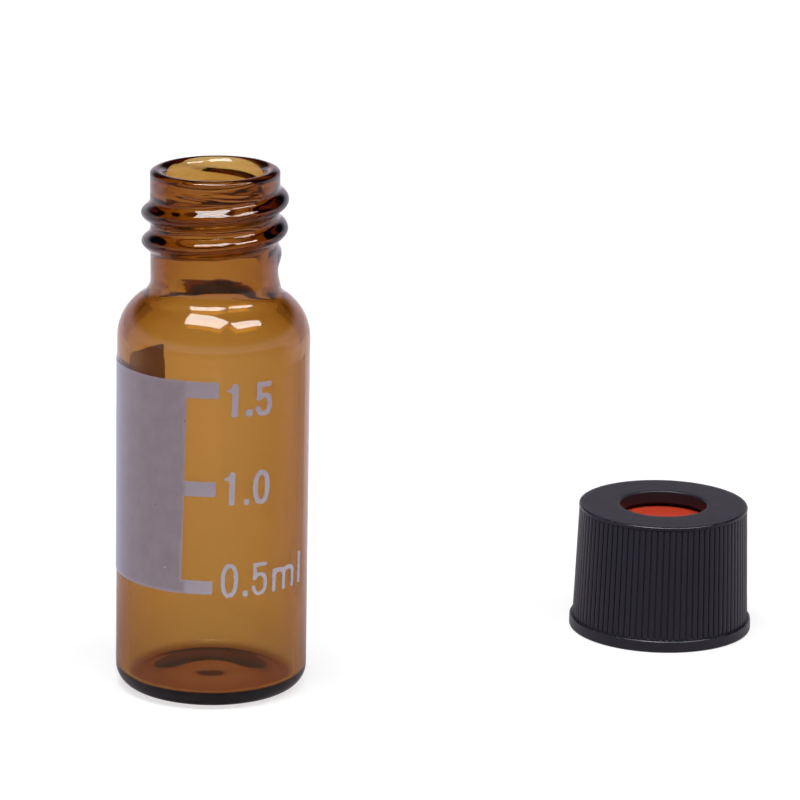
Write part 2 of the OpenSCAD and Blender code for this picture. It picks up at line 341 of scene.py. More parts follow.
@dataclass(frozen=True)
class FiredInk:
    """Screen-printed glass enamel, fired into the surface: chalky, faintly grainy, mauve grey.

    Attributes:
        sign_edge: Where the patch ends and the graduations begin, right of the front.
        sign_gap: Where the numerals begin.
        sign_rise: Heights between which the numerals darken.
        specks: Place along the wall, height, radius and colour of each fleck.
    """

    patch: str = "#b9a9b0"
    dark: str = "#998890"
    # Pale warm colour of the side against the glass: painted light, standing in for daylight through the
    # thin coat.
    back: str = "#e8c8b8"
    # Strength of the painted glow on that side, for the same daylight.
    glow: float = 0.14
    sign: str = "#bcaeb8"
    sign_low: str = "#d2ccd6"
    sign_edge: Pair = (-1.56, -1.3)
    sign_gap: Pair = (0.5, 0.7)
    sign_rise: Pair = (7.0, 20.0)
    edge_share: float = 0.62
    rim_share: float = 0.45
    sheen: Tint = (0.72, 0.78, 1.0, 1.0)
    wall_r: Size = 5.8
    coat: Size = 0.03
    specks: tuple[tuple[Size, Size, Size, str], ...] = (
        (-1.42, 18.0, 0.07, "#1c1410"),
        (-2.69, 8.8, 0.06, "#d9d4dc"),
        (-3.35, 12.6, 0.06, "#7d6a74"),
    )

    def make(self) -> Material:
        """Builds the material; thin strokes and edges fire a little paler than the broad patch.

        Returns:
            The material.
        """
        material, add = new_material("fired_screen_enamel")
        place = add("TexCoord").outputs["Object"]
        rim = add("Attribute", attribute_name="rim").outputs["Fac"]
        apart = add("SeparateXYZ", [place]).outputs
        edge = add("MapRange", (apart["X"], *metres(self.sign_edge), 0.0, self.edge_share))
        signs = add("MapRange", (apart["X"], *metres(self.sign_gap)))
        rise = add("MapRange", (apart["Z"], *metres(self.sign_rise)))
        cloud = add("TexNoise", {"Vector": place, "Scale": 900.0, "Detail": 5.0, "Roughness": 0.75})
        dark, patch = linear(self.dark), linear(self.patch)
        broad = add("Mix", {"Factor": cloud, "A": dark, "B": patch}, data_type="RGBA")
        low, high = linear(self.sign_low), linear(self.sign)
        thin = add("Mix", {"Factor": rise, "A": low, "B": high}, data_type="RGBA")
        # The ink that ran out to the edge is thinner too, over a tenth of a millimetre.
        brim = add("MapRange", (rim, 0.5, 1.0, 0.0, self.rim_share))
        share = add("Math", (add("Math", (edge, brim), operation="MAXIMUM"), signs), operation="MAXIMUM")
        tone = add("Mix", {"Factor": share, "A": broad, "B": thin}, data_type="RGBA")
        for along, z, radius, colour in self.specks:
            turn, r = along / self.wall_r, self.wall_r + self.coat
            spot = metres((r * math.sin(turn), -r * math.cos(turn), z))
            far = add("VectorMath", (place, spot), operation="DISTANCE")
            near = add("MapRange", (far, *metres((0.6 * radius, radius)), 1.0, 0.0))
            tone = add("Mix", {"Factor": near, "A": tone, "B": linear(colour)}, data_type="RGBA")
        # Painted light: the side fired against the glass, seen through the wall, takes a pale warm colour
        # that stands in for daylight shining through the thin coat.
        behind = add("MapRange", (rim, -0.1, -0.9))
        tone = add("Mix", {"Factor": behind, "A": tone, "B": linear(self.back)}, data_type="RGBA")
        # Enamel grains are a few hundredths of a millimetre; 0.08 mm is the finest that shows.
        grain = add("TexNoise", {"Vector": place, "Scale": 12000.0, "Detail": 2.0, "Roughness": 0.7})
        inputs = {
            "Base Color": tone,
            "Roughness": 0.42,
            "IOR": 1.5,
            "Sheen Weight": 1.0,
            "Sheen Roughness": 0.4,
            "Sheen Tint": self.sheen,
            "Normal": add("Bump", {"Height": grain, "Strength": 0.35, "Distance": 0.00001}),
        }
        # Painted glow: the side against the glass emits a little light, standing in for daylight that comes
        # through the thin coat.
        inputs["Emission Color"] = linear(self.back)
        inputs["Emission Strength"] = add("Math", (behind, self.glow), operation="MULTIPLY")
        add("OutputMaterial", [add("BsdfPrincipled", inputs)])
        return material


@dataclass(frozen=True)
class MouldedPolypropylene:
    """Carbon-black polypropylene from a fine-eroded mould: soft satin, almost no colour."""

    tint: str = "#11111c"
    worn: str = "#181825"
    roughness: float = 0.4
    polished: float = 0.08

    def make(self) -> Material:
        """Builds the material; the mould's spark texture breaks up its sheen.

        Returns:
            The material.
        """
        material, add = new_material("black_moulded_polypropylene")
        place = add("TexCoord").outputs["Object"]
        cloud = add("TexNoise", {"Vector": place, "Scale": 500.0, "Detail": 3.0})
        tint, worn = linear(self.tint), linear(self.worn)
        tone = add("Mix", {"Factor": cloud, "A": tint, "B": worn}, data_type="RGBA")
        rough = add("MapRange", (cloud, 0.0, 1.0, self.roughness - 0.05, self.roughness + 0.08))
        # Handling polishes the two outer edges in patches of about half a millimetre.
        edge = add("Attribute", attribute_name="edge").outputs["Fac"]
        patches = add("TexNoise", {"Vector": place, "Scale": 2200.0, "Detail": 3.0})
        shiny = add("Math", (edge, add("MapRange", (patches, 0.35, 0.6))), operation="MULTIPLY")
        gloss = add("Mix", {"Factor": shiny, "A": rough, "B": self.polished})
        # Spark texture of about 0.1 mm.
        spark = add("TexNoise", {"Vector": place, "Scale": 10000.0, "Detail": 2.0})
        bump = add("Bump", {"Height": spark, "Strength": 0.25, "Distance": 0.00001})
        inputs = {"Base Color": tone, "Roughness": gloss, "IOR": 1.49, "Normal": bump}
        add("OutputMaterial", [add("BsdfPrincipled", inputs)])
        return material


@dataclass(frozen=True)
class SheetRubber:
    """Silicone punched from calendered sheet: satin, even, lets a little light into its skin."""

    name: str = "red_silicone_sheet"
    tint: str = "#c8351c"
    pale: str = "#d2482c"
    roughness: float = 0.42
    ior: float = 1.41
    glow: float = 0.15

    def make(self) -> Material:
        """Builds the material.

        Returns:
            The material.
        """
        material, add = new_material(self.name)
        place = add("TexCoord").outputs["Object"]
        cloud = add("TexNoise", {"Vector": place, "Scale": 700.0, "Detail": 3.0})
        fine = add("TexNoise", {"Vector": place, "Scale": 9000.0, "Detail": 2.0})
        tint, pale = linear(self.tint), linear(self.pale)
        inputs = {
            "Base Color": add("Mix", {"Factor": cloud, "A": tint, "B": pale}, data_type="RGBA"),
            "Roughness": self.roughness,
            "IOR": self.ior,
            "Subsurface Weight": self.glow,
            "Subsurface Scale": 0.0004,
            "Subsurface Radius": (1.0, 0.25, 0.1),
            "Normal": add("Bump", {"Height": fine, "Strength": 0.2, "Distance": 0.000008}),
        }
        add("OutputMaterial", [add("BsdfPrincipled", inputs)])
        return material


# --- glass vial ---


@dataclass(frozen=True)
class Bead:
    """The rolled thread: one round ridge that winds down the neck."""

    height: Size = 0.565
    width: Size = 1.12
    rise: Size = 1.75
    turns: float = 2.41
    start_z: Size = 30.9
    start_deg: float = 137.0
    lead_deg: Pair = (98.0, 70.0)
    fillet: Size = 0.13
    fade: float = 0.08

    def section(self) -> tuple[Grid, Grid]:
        """The ridge's section with its foot run softly into the neck.

        Returns:
            Heights along the axis from the crest, and the ridge's share of its full height there.
        """
        z = np.linspace(-1.5, 1.5, 601)
        s = np.clip(z / self.width + 0.5, 0, 1)
        shape = np.sin(math.pi * s) ** 0.65
        blur = np.exp(-0.5 * (z / self.fillet) ** 2)
        soft = np.convolve(shape, blur / blur.sum(), "same")
        return z, soft / soft.max()

    def stands_out(self, theta: Grid, z: Grid) -> Grid:
        """How far the ridge stands out of the neck.

        Args:
            theta: Angles.
            z: Heights.

        Returns:
            The ridge's height at each point.
        """
        across, share = self.section()
        total = self.turns * 360
        out = np.zeros(np.broadcast(theta, z).shape)
        first = (self.start_deg - np.degrees(theta)) % 360
        for turn in range(-1, math.ceil(self.turns) + 1):
            run = first + 360 * turn
            inside = (run > 0) & (run < total)
            grown = np.clip(np.minimum(run / self.lead_deg[0], (total - run) / self.lead_deg[1]), 0, 1)
            grown = np.where(inside, np.sin(0.5 * math.pi * grown) * (1 - self.fade * run / total), 0)
            crest = self.start_z - self.rise * run / 360
            out = np.maximum(out, grown * np.interp(z - crest, across, share, 0, 0))
        return self.height * out


@dataclass
class GlassVial:
    """The vial: tubing with a rounded heel, a thick base, a shoulder and a rolled neck.

    Attributes:
        step: Rise of the base's inner part, and where the step starts and ends.
        pip: Depth and radius of the pip in the base.
        gather: Height of the gathered glass at the neck's foot, its middle and its spread.
        chatter: The same for the marks where the bore opens.
    """

    axis: Pair
    finish: Material
    body_r: Size = 5.8
    height: Size = 32.1
    wall: Size = 0.7
    floor_z: Size = 0.92
    heel_r: Size = 1.23
    inner_heel_r: Size = 0.32
    punt: Size = 0.14
    step: Trio = (0.22, 1.7, 3.9)
    pip: Pair = (0.095, 1.7)
    foot: Size = 0.05
    shoulder_r: Size = 3.05
    fillet_r: Size = 1.2
    neck_z: Size = 25.34
    neck_r: Size = 3.82
    lip_r: Size = 3.89
    lip_corner: Size = 0.2
    crest_r: Size = 3.46
    crest_drop: Size = 0.09
    mouth_r: Size = 2.85
    mouth_drop: Size = 0.66
    bore_r: Size = 2.92
    inner_start: Size = -0.34
    inner_round: Size = 2.75
    inner_fillet_r: Size = 2.6
    throat: Size = 0.9
    lip_fall: float = 28.0
    gather: Trio = (0.1, 25.1, 0.4)
    chatter: Trio = (0.0045, 24.6, 0.9)
    scored: Size = 0.0012
    streaked: Size = 0.0065
    wavy: Size = 0.012
    lip_low: Size = 0.06
    bead: Bead = field(default_factory=Bead)

    def shoulder(self, big: Size, small: Size, z: Size, convex: Size, concave: Size) -> tuple[Curve, Size]:
        """Section of a shoulder: a convex round running into a concave fillet.

        Args:
            big: Radius of the wall below.
            small: Radius of the neck above.
            z: Height where the round starts.
            convex: Radius of the round.
            concave: Radius of the fillet.

        Returns:
            The section, going up, and its top.
        """
        turn = math.degrees(math.acos((small + concave - big + convex) / (convex + concave)))
        top = z + (convex + concave) * math.sin(math.radians(turn))
        return (
            joined(
                arc((big - convex, z), convex, 0, turn, 26),
                arc((small + concave, top), concave, 180 + turn, 180, 18),
            ),
            top,
        )

    def shoulder_z(self) -> Size:
        """Height where the outside starts to round in.

        Returns:
            The height.
        """
        both = self.shoulder_r + self.fillet_r
        turn = math.acos((self.neck_r + self.fillet_r - self.body_r + self.shoulder_r) / both)
        return self.neck_z - both * math.sin(turn)

    def outside(self) -> Curve:
        """Section of the outside, from the middle of the base to the top of the lip.

        Returns:
            Its points.
        """
        punt_r = self.body_r - self.heel_r - self.foot
        r = np.linspace(0, punt_r, 44)
        # Pressed while hot, the base keeps a shallow step and a small pip where the tube closed.
        rise, near, far = self.step
        t = np.clip((r - near) / (far - near), 0, 1)
        stepped = rise * (1 - t * t * (3 - 2 * t))
        pip = self.pip[0] * np.cos(0.5 * math.pi * np.clip(r / self.pip[1], 0, 1)) ** 2
        under = np.c_[r, self.punt * (1 - (r / punt_r) ** 2) + stepped - pip]
        shoulder_z = self.shoulder_z()
        shoulder, _ = self.shoulder(self.body_r, self.neck_r, shoulder_z, self.shoulder_r, self.fillet_r)
        # The lip's top falls away outwards before its corner.
        fall = math.radians(self.lip_fall)
        corner_r = self.lip_r - self.lip_corner
        lip_z = self.height - self.crest_drop - self.lip_corner * math.cos(fall)
        edge_r = corner_r + self.lip_corner * math.sin(fall)
        t = np.linspace(1, 0, 9)
        crest = np.c_[self.crest_r + (edge_r - self.crest_r) * t, self.height - self.crest_drop * t**2]
        return joined(
            under,
            path((punt_r, 0), ((self.body_r - self.heel_r, 0), 3)),
            arc((self.body_r - self.heel_r, self.heel_r), self.heel_r, -90, 0, 18),
            path((self.body_r, self.heel_r), ((self.body_r, shoulder_z), 16)),
            shoulder,
            path((self.neck_r, self.neck_z), ((self.lip_r, lip_z), 124)),
            arc((corner_r, lip_z), self.lip_corner, 0, 90 - self.lip_fall, 10),
            crest,
        )

    def inside(self) -> Curve:
        """Section of the inside, from the top of the lip down to the middle of the floor.

        Returns:
            Its points.
        """
        cavity = self.body_r - self.wall
        start = self.shoulder_z() + self.inner_start
        shoulder, top = self.shoulder(cavity, self.bore_r, start, self.inner_round, self.inner_fillet_r)
        crest = self.crest_r
        low = self.height - self.mouth_drop
        t = np.radians(np.linspace(0, 90, 25))
        mouth = np.c_[crest - (crest - self.mouth_r) * np.sin(t), low + self.mouth_drop * np.cos(t)]
        # Fire polishing draws the mouth in a little below its round.
        t = np.linspace(0, 1, 13)
        wider = (self.bore_r - self.mouth_r) * (3 * t**2 - 2 * t**3)
        throat = np.c_[self.mouth_r + wider, low - self.throat * t]
        corner, corner_z = cavity - self.inner_heel_r, self.floor_z + self.inner_heel_r
        return joined(
            mouth,
            throat,
            path((self.bore_r, low - self.throat), ((self.bore_r, top), 60)),
            shoulder[::-1],
            path((cavity, start), ((cavity, corner_z), 12)),
            arc((corner, corner_z), self.inner_heel_r, 0, -90, 14),
            path((corner, self.floor_z), ((0, self.floor_z), 5)),
        )

    def build(self) -> None:
        """Builds and dresses the vial."""
        lathe = Lathe(self.axis, 224)
        theta = lathe.angles()[None, :]
        (r_out, z_out), (r_in, z_in) = lathe.spread(self.outside()), lathe.spread(self.inside())
        front, right = 0.5 - 0.5 * np.sin(theta), 0.5 + 0.5 * np.cos(theta)
        r_out += np.where(z_out > self.neck_z, self.bead.stands_out(theta, z_out), 0)
        # The glass gathers a little where the shoulder meets the neck, more on the right.
        r_out += self.gather[0] * swell(z_out, *self.gather[1:]) * right**2
        # The thread rollers leave fine scored rings on the neck, deepest just under the front of the lip.
        band = ramp(z_out, self.neck_z + 0.2, 0.5) * ramp(z_out, self.height - 0.5, -0.3)
        under_lip = band * ramp(z_out, self.height - 2.2, 0.3) * front**2
        r_out += self.scored * band * ripple(theta, z_out, 3, (2, 24), (0.22, 0.7))
        r_out += self.streaked * under_lip * ripple(theta, z_out, 7, (1, 6), (0.32, 0.7))
        # Rolling the thread leaves the neck's bore slightly wavy.
        neck = ramp(z_in, self.neck_z, 2.0) * ramp(z_in, self.height - 0.6, -1.5)
        r_in += self.wavy * neck * ripple(theta, z_in, 5, (2, 9), (1.2, 4.0))
        # Where the bore opens into the shoulder the tool chattered, on the left.
        chatter = self.chatter[0] * swell(z_in, *self.chatter[1:]) * (1 - right)
        r_in += chatter * ripple(theta, z_in, 9, (2, 8), (0.4, 0.9))
        # The lip was cut a little low on its left.
        for z in (z_out, z_in):
            z -= 2 * self.lip_low * ramp(z, self.height - 1.2, 0.6) * (1 - right)
        radius, height = np.concatenate([r_out, r_in[1:]]), np.concatenate([z_out, z_in[1:]])
        piece = lathe.turn("vial_glass", radius, height, False)
        seat(piece, "amber_glass", self.finish, "glass_vial")


# --- printed scale ---

Field = Callable[[Grid, Grid], Grid]


def bar(left: Size, right: Size, low: Size, high: Size, corner: Size = 0.04) -> Field:
    """An upright bar with slightly rounded corners, as a distance field (negative inside).

    Args:
        left: Its left side.
        right: Its right side.
        low: Its foot.
        high: Its top.
        corner: Radius of its corners.

    Returns:
        The field.
    """

    def past(w: Grid, start: Size, end: Size) -> Grid:
        """Distance past two opposite sides, drawn in by the corner."""
        return np.abs(w - (start + end) / 2) - (end - start) / 2 + corner

    def distance(u: Grid, v: Grid) -> Grid:
        """Distance to the bar."""
        a, b = past(u, left, right), past(v, low, high)
        return np.hypot(np.maximum(a, 0), np.maximum(b, 0)) + np.minimum(np.maximum(a, b), 0) - corner

    return distance


def polygon(points: Sequence[Pair]) -> Field:
    """A closed outline of straight sides, as a distance field.

    Args:
        points: Its corners, in order.

    Returns:
        The field.
    """
    corners = np.array(points, float)

    def distance(u: Grid, v: Grid) -> Grid:
        """Distance to the outline, signed by an even-odd count.

        Args:
            u: Places along the wall.
            v: Heights.

        Returns:
            The distance at each place.
        """
        best, inside = np.full(u.shape, 1e9), np.zeros(u.shape, bool)
        for (x0, y0), (x1, y1) in zip(corners, np.roll(corners, -1, 0)):
            dx, dy = x1 - x0, y1 - y0
            t = np.clip(((u - x0) * dx + (v - y0) * dy) / (dx * dx + dy * dy), 0, 1)
            best = np.minimum(best, np.hypot(u - x0 - t * dx, v - y0 - t * dy))
            if dy != 0:
                inside ^= ((v >= y0) != (v >= y1)) & (u < x0 + (v - y0) * dx / dy)
        return np.where(inside, -best, best)

    return distance


def hoop(centre: Pair, outer: Pair, inner: Pair) -> Field:
    """An upright hoop with nearly straight sides, as a distance field.

    Args:
        centre: Its middle.
        outer: Half width and half height outside.
        inner: The same inside.

    Returns:
        The field.
    """

    def blob(u: Grid, v: Grid, half: Pair) -> Grid:
        """Distance to one of the hoop's two edges."""
        a, b = np.abs(u - centre[0]) / half[0], np.abs(v - centre[1]) / half[1]
        return ((a**2.3 + b**2.3) ** (1 / 2.3) - 1) * min(half)

    return lambda u, v: np.maximum(blob(u, v, outer), -blob(u, v, inner))


def without(whole: Field, cut: Field) -> Field:
    """One field with another taken away."""
    return lambda u, v: np.maximum(whole(u, v), -cut(u, v))


def melted(fields: Sequence[Field], u: Grid, v: Grid, fillet: Size) -> Grid:
    """The union of fields, with a fillet in the corners where they meet.

    Args:
        fields: The fields.
        u: Places along the wall.
        v: Heights.
        fillet: Size of the fillet.

    Returns:
        The union's distance at each place.
    """
    total = fields[0](u, v)
    for other in fields[1:]:
        depth = other(u, v)
        mix = np.clip(0.5 + 0.5 * (depth - total) / fillet, 0, 1)
        total = depth * (1 - mix) + total * mix - fillet * mix * (1 - mix)
    return total


def softened(depth: Grid) -> Grid:
    """A field with its corners rounded by about one cell.

    Args:
        depth: The field on a grid.

    Returns:
        The softened field.
    """
    for axis in (0, 1, 0, 1):
        depth = (np.roll(depth, 1, axis) + 2 * depth + np.roll(depth, -1, axis)) / 4
    return depth


@dataclass
class FiredPrint:
    """The print on the wall: a writing patch, three graduations, their numbers and the unit.

    Places along the wall run to the right from the front of the vial.
    """

    axis: Pair
    finish: Material
    wall_r: Size = 5.8
    thickness: Size = 0.034
    sunk: Size = 0.03
    patch: tuple[Size, ...] = (-14.6, -1.5, 7.33, 20.44)
    mark_end: Size = 0.41
    marks: tuple[Pair, ...] = ((7.33, 8.15), (13.4, 14.3), (19.44, 20.44))
    lean: float = 0.024
    lean_z: Size = 13.9
    cell: Size = 0.04
    ragged: Size = 0.009
    fillet: Size = 0.07
    step: Pair = (0.3, 0.45)

    def one(self, stem: Size, width: Size, low: Size) -> list[Field]:
        """A numeral one with a short curved flag at its left.

        Args:
            stem: Left side of its stem.
            width: Width of its stem.
            low: Its foot.

        Returns:
            Its parts.
        """
        top, right = low + 2.02, stem + 0.6 * width
        flag = (
            (stem - 0.33, low + 1.58),
            (stem, low + 1.47),
            (right, low + 1.47),
            (right, top),
            (stem + 0.15, top),
            (stem - 0.02, low + 1.81),
            (stem - 0.19, low + 1.71),
            (stem - 0.33, low + 1.67),
        )
        return [bar(stem, stem + width, low, top), polygon(flag)]

    def five(self, left: Size, low: Size, size: Pair, pen: Size) -> list[Field]:
        """A numeral five: an open bowl under a stem and a bar.

        Args:
            left: Its left side.
            low: Its foot.
            size: Its width and height.
            pen: Width of its strokes.

        Returns:
            Its parts.
        """
        wide, tall = size
        middle = left + wide / 2
        bowl = hoop((middle, low + 0.7), (wide / 2, 0.7), (wide / 2 - pen, 0.7 - 0.8 * pen))
        gap = bar(left - 1, middle, low + 0.62, low + 1.0, 0.01)
        return [
            without(bowl, gap),
            bar(left + 0.09, left + 0.09 + 0.9 * pen, low + 1.0, low + tall),
            bar(left + 0.09, left + wide - 0.05, low + tall - 0.88 * pen, low + tall),
        ]

    def unit(self, stems: Sequence[Pair], low: Size) -> list[Field]:
        """The unit: a small m and l.

        Args:
            stems: Left and right sides of the four stems.
            low: Their foot.

        Returns:
            Its parts.
        """
        bend = low + 0.95
        parts = [bar(*stems[0], low, low + 1.42), bar(*stems[3], low, low + 1.96)]
        for before, after in zip(stems[:2], stems[1:3]):
            start, stop = sum(before) / 2, sum(after) / 2
            half = (stop - start) / 2
            arch = hoop(((start + stop) / 2, bend), (half + 0.13, 0.475), (half - 0.13, 0.215))
            below = bar(start - 1, stop + 1, low - 1, bend, 0.01)
            parts += [without(arch, below), bar(*after, low, bend + 0.05)]
        return parts

    def signs(self) -> list[Field]:
        """Every numeral and letter, in place before the print's lean."""
        stems = ((4.27, 4.52), (5.06, 5.31), (5.90, 6.14), (6.67, 6.94))
        return [
            *self.one(1.21, 0.38, 18.28),
            bar(2.07, 2.51, 18.28, 18.70, 0.06),
            *self.five(2.667, 18.21, (1.14, 2.07), 0.33),
            *self.one(1.225, 0.33, 12.85),
            bar(2.15, 2.47, 12.83, 13.18, 0.06),
            hoop((3.26, 13.825), (0.56, 1.055), (0.25, 0.77)),
            hoop((1.421, 8.165), (0.527, 1.055), (0.27, 0.81)),
            bar(2.26, 2.58, 7.11, 7.48, 0.06),
            *self.five(2.82, 7.10, (1.046, 2.01), 0.235),
            *self.unit(stems, 7.13),
        ]

    def marked(self) -> list[Field]:
        """The patch with its three graduations.

        Returns:
            Its shapes.
        """
        left, right, low, high = self.patch
        bars = [bar(right - 1, self.mark_end, foot, top) for foot, top in self.marks]
        return [bar(left, right, low, high, 0.08), *bars]

    def outline(self, fields: list[Field], room: tuple[Size, ...]) -> tuple[list[Pair], Joins]:
        """Traces the edge of a union of fields.

        Args:
            fields: The shapes.
            room: Left, right, low and high limits of the search.

        Returns:
            Points of the edge, and the pairs of points that it joins.
        """
        u, v = np.arange(room[0], room[1], self.cell), np.arange(room[2], room[3], self.cell)
        uu, vv = np.meshgrid(u, v, indexing="ij")
        flat = uu - self.lean * (vv - self.lean_z)
        depth = softened(melted(fields, flat, vv, self.fillet))
        # Screen mesh leaves the edge a little ragged.
        return trace(u, v, depth + self.ragged * ripple(uu / self.wall_r, vv, 11, (60, 300), (0.14, 0.7)))

    def build(self) -> None:
        """Builds and dresses the print."""
        left, _, low, high = self.patch
        points, pairs = self.outline(self.marked(), (left - 1, 0.95, low - 0.5, high + 0.5))
        more, joins = self.outline(self.signs(), (0.4, 8.0, low - 0.6, high + 0.5))
        pairs += [(a + len(points), b + len(points)) for a, b in joins]
        skin, faces = filled(np.array(points + more), pairs, self.step)
        count = len(skin)
        both = np.concatenate([self.wrapped(skin, self.thickness), self.wrapped(skin, -self.sunk)])
        shell = faces + [[i + count for i in reversed(f)] for f in faces]
        used = {(a, b) for f in faces for a, b in zip(f, [*f[1:], f[0]])}
        ends = [(a, b) for a, b in used if (b, a) not in used]
        shell += [[b, a, a + count, b + count] for a, b in sorted(ends)]
        piece = mesh_object("scale_print", both, shell)
        piece.data.set_sharp_from_angle(angle=math.radians(50))
        # The ink thins out towards its edge, and the finish reads how far it has.
        edge = np.zeros(count)
        edge[np.array(ends).ravel()] = 1
        rim = piece.data.attributes.new("rim", "FLOAT", "POINT")
        rim.data.foreach_set("value", np.concatenate([edge, np.full(count, -1.0)]))
        seat(piece, "fired_ink", self.finish, "ink_print")

    def wrapped(self, flat: Grid, lift: Size) -> Grid:
        """Lays flat points on the wall.

        Args:
            flat: Points as (along the wall, height).
            lift: How far they stand off the wall.

        Returns:
            Points in space.
        """
        turn = flat[:, 0] / self.wall_r - math.pi / 2
        r = self.wall_r + lift
        return np.c_[self.axis[0] + r * np.cos(turn), self.axis[1] + r * np.sin(turn), flat[:, 1]]


def trace(u: Grid, v: Grid, depth: Grid) -> tuple[list[Pair], Joins]:
    """Follows the zero line of a field on a grid.

    Args:
        u: Grid places along the first axis.
        v: Grid places along the second axis.
        depth: The field, negative inside.

    Returns:
        Points of the line, and the pairs of points that it joins.
    """
    inside = depth < 0
    points: list[Pair] = []
    pairs: Joins = []
    number: dict[tuple[int, ...], int] = {}
    corners = ((0, 0), (1, 0), (1, 1), (0, 1), (0, 0))
    mixed = inside[:-1, :-1].astype(int) + inside[1:, :-1] + inside[:-1, 1:] + inside[1:, 1:]
    for i, j in np.argwhere((mixed > 0) & (mixed < 4)).tolist():
        met = []
        for here, there in zip(corners, corners[1:]):
            (a, b), (c, d) = sorted(((i + x, j + y) for x, y in (here, there)))
            if inside[a, b] == inside[c, d]:
                continue
            if (a, b, c) not in number:
                number[a, b, c] = len(points)
                t = depth[a, b] / (depth[a, b] - depth[c, d])
                points.append((u[a] + t * (u[c] - u[a]), v[b] + t * (v[d] - v[b])))
            met.append(number[a, b, c])
        # Where a cell is crossed twice, the line keeps to the corners that it starts and ends at.
        pairs += [(met[0], met[-1]), *([(met[1], met[2])] if len(met) == 4 else [])]
    return points, pairs


def filled(points: Grid, pairs: Joins, step: Pair) -> tuple[Grid, list[list[int]]]:
    """Fills closed outlines with triangles small enough to bend round the wall.

    Args:
        points: Points of the outlines.
        pairs: The pairs of points that they join.
        step: Spacing of the points added inside.

    Returns:
        Points and triangles.
    """
    low, high = points.min(0) + np.array(step) / 2, points.max(0)
    rows = np.arange(low[1], high[1], step[1])
    inner = [(x, y) for x in np.arange(low[0], high[0], step[0]) for y in rows]
    inner = [p for p in inner if np.hypot(*(points - p).T).min() > 0.12]
    made = delaunay_2d_cdt([Vector(p) for p in (*points.tolist(), *inner)], pairs, [], 0, 1e-6)
    verts, faces = np.array([tuple(p) for p in made[0]]), [list(f) for f in made[2]]
    x, y = np.array([verts[f].mean(0) for f in faces]).T
    # A triangle is inked where a level line from it crosses the outlines an odd number of times.
    hits = np.zeros(len(faces), int)
    for (x0, y0), (x1, y1) in points[np.array(pairs)]:
        if y0 != y1:
            hits += (y >= min(y0, y1)) & (y < max(y0, y1)) & (x0 + (y - y0) * (x1 - x0) / (y1 - y0) > x)
    return verts, [f for f, hit in zip(faces, hits) if hit % 2]


# --- screw cap ---

CAP_CREASE = math.radians(38)


class Ring(Enum):
    """What is set in a ring round the cap's axis, and how many of each."""

    RIBS = 88
    TEETH = 20


@dataclass(frozen=True)
class RingOfCopies:
    """Sets copies of one shape in a ring with a geometry-node tree."""

    axis: Pair
    finish: Material

    def tree(self) -> bpy.types.NodeTree:
        """Builds the tree: points at the axis, each copy turned by its share of a full turn.

        Returns:
            The tree.
        """
        tree = bpy.data.node_groups.new("ring_of_copies", "GeometryNodeTree")
        takes = {"Shape": "Geometry", "Copies": "Int", "Axis": "Vector", "Finish": "Material"}
        for name, kind in takes.items():
            tree.interface.new_socket(name=name, in_out="INPUT", socket_type=f"NodeSocket{kind}")
        tree.interface.new_socket(name="Ring", in_out="OUTPUT", socket_type="NodeSocketGeometry")
        add = partial(add_node, tree)
        given = add("NodeGroupInput").outputs
        line = {"Offset": (0.0, 0.0, 0.0), "Count": given["Copies"], "Start Location": given["Axis"]}
        share = add("Math", (2 * math.pi, given["Copies"]), operation="DIVIDE")
        turn = add("Math", (add("GeometryNodeInputIndex"), share), operation="MULTIPLY")
        inputs = {
            "Points": add("GeometryNodeMeshLine", line),
            "Instance": given["Shape"],
            "Rotation": add("CombineXYZ", {"Z": turn}),
        }
        real = add("GeometryNodeRealizeInstances", [add("GeometryNodeInstanceOnPoints", inputs)])
        dressed = add("GeometryNodeSetMaterial", {"Geometry": real, "Material": given["Finish"]})
        add("NodeGroupOutput", [dressed])
        return tree

    def build(self, name: str, kind: Ring, shape: Piece) -> Piece:
        """Sets the ring and turns it into a plain mesh.

        Args:
            name: The piece's name.
            kind: What is repeated.
            shape: One copy, placed beside an axis at the origin.

        Returns:
            The ring as one mesh object.
        """
        tree = self.tree()
        setter = shape.modifiers.new("ring", "NODES")
        setter.node_group = tree
        values = {"Copies": kind.value, "Axis": (*metres(self.axis), 0.0), "Finish": self.finish}
        for item in tree.interface.items_tree:
            if item.name in values:
                setter[item.identifier] = values[item.name]
        bpy.context.view_layer.update()
        posed = shape.evaluated_get(bpy.context.evaluated_depsgraph_get())
        mesh = bpy.data.meshes.new_from_object(posed)
        shape.modifiers.remove(setter)
        piece = bpy.data.objects.new(name, mesh)
        bpy.context.scene.collection.objects.link(piece)
        bpy.data.objects.remove(shape)
        mesh.name = name
        mesh.shade_smooth()
        mesh.set_sharp_from_angle(angle=CAP_CREASE)
        return piece


